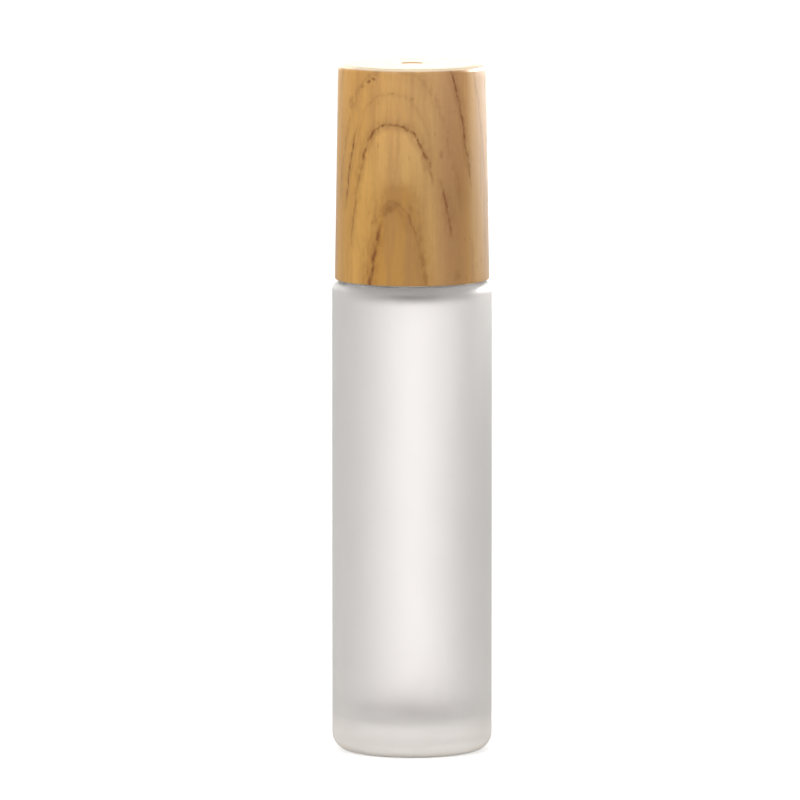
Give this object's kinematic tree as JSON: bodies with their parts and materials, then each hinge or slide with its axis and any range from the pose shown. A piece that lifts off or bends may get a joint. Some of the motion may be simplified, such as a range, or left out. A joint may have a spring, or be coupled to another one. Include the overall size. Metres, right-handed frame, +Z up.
{
  "type": "roll-on bottle",
  "caption": "Small frosted glass bottle with a steel roller ball in its neck and a tall wood-look screw cap, for oils and scent.",
  "frame": {"origin": "centre of the foot, on the surface that the bottle stands on", "axes": "+Z up along the bottle's axis, from the foot to the cap; -Y faces the viewer and +X is to the right in the picture"},
  "size_m": [0.0164, 0.0164, 0.0712],
  "materials": {
    "glass_bottle": "clear glass, acid-frosted on the outside",
    "roller_housing": "natural polyethylene, moulded satin",
    "roller_ball": "polished stainless steel",
    "sealing_pad": "soft white closed-cell foam",
    "cap_liner": "white polypropylene, moulded",
    "cap_shell": "satin moulded plastic with a printed wood grain"
  },
  "bodies": {
    "bottle": {"glass_bottle": "glass_bottle", "roller_housing": "roller_housing"},
    "ball": {"roller_ball": "roller_ball"},
    "seal": {"sealing_pad": "sealing_pad"},
    "cap": {"cap_liner": "cap_liner", "cap_shell": "cap_shell"}
  },
  "joints": [
    {"name": "ball_roll", "type": "hinge", "parent": "bottle", "child": "ball", "pos_m": [0, 0, 0.0635], "axis": [1, 0, 0], "continuous": true},
    {"name": "cap_lift", "type": "slide", "parent": "bottle", "child": "seal", "axis": [0, 0, 1], "range_m": [0, 0.02]},
    {"name": "cap_turn", "type": "hinge", "parent": "seal", "child": "cap", "pos_m": [0, 0, 0.0689], "axis": [0, 0, 1], "range_deg": [0, 2400]}
  ],
  "couplings": [
    {"joint": "cap_lift", "follows": "cap_turn", "m_per_rad": 0.00047746}
  ]
}
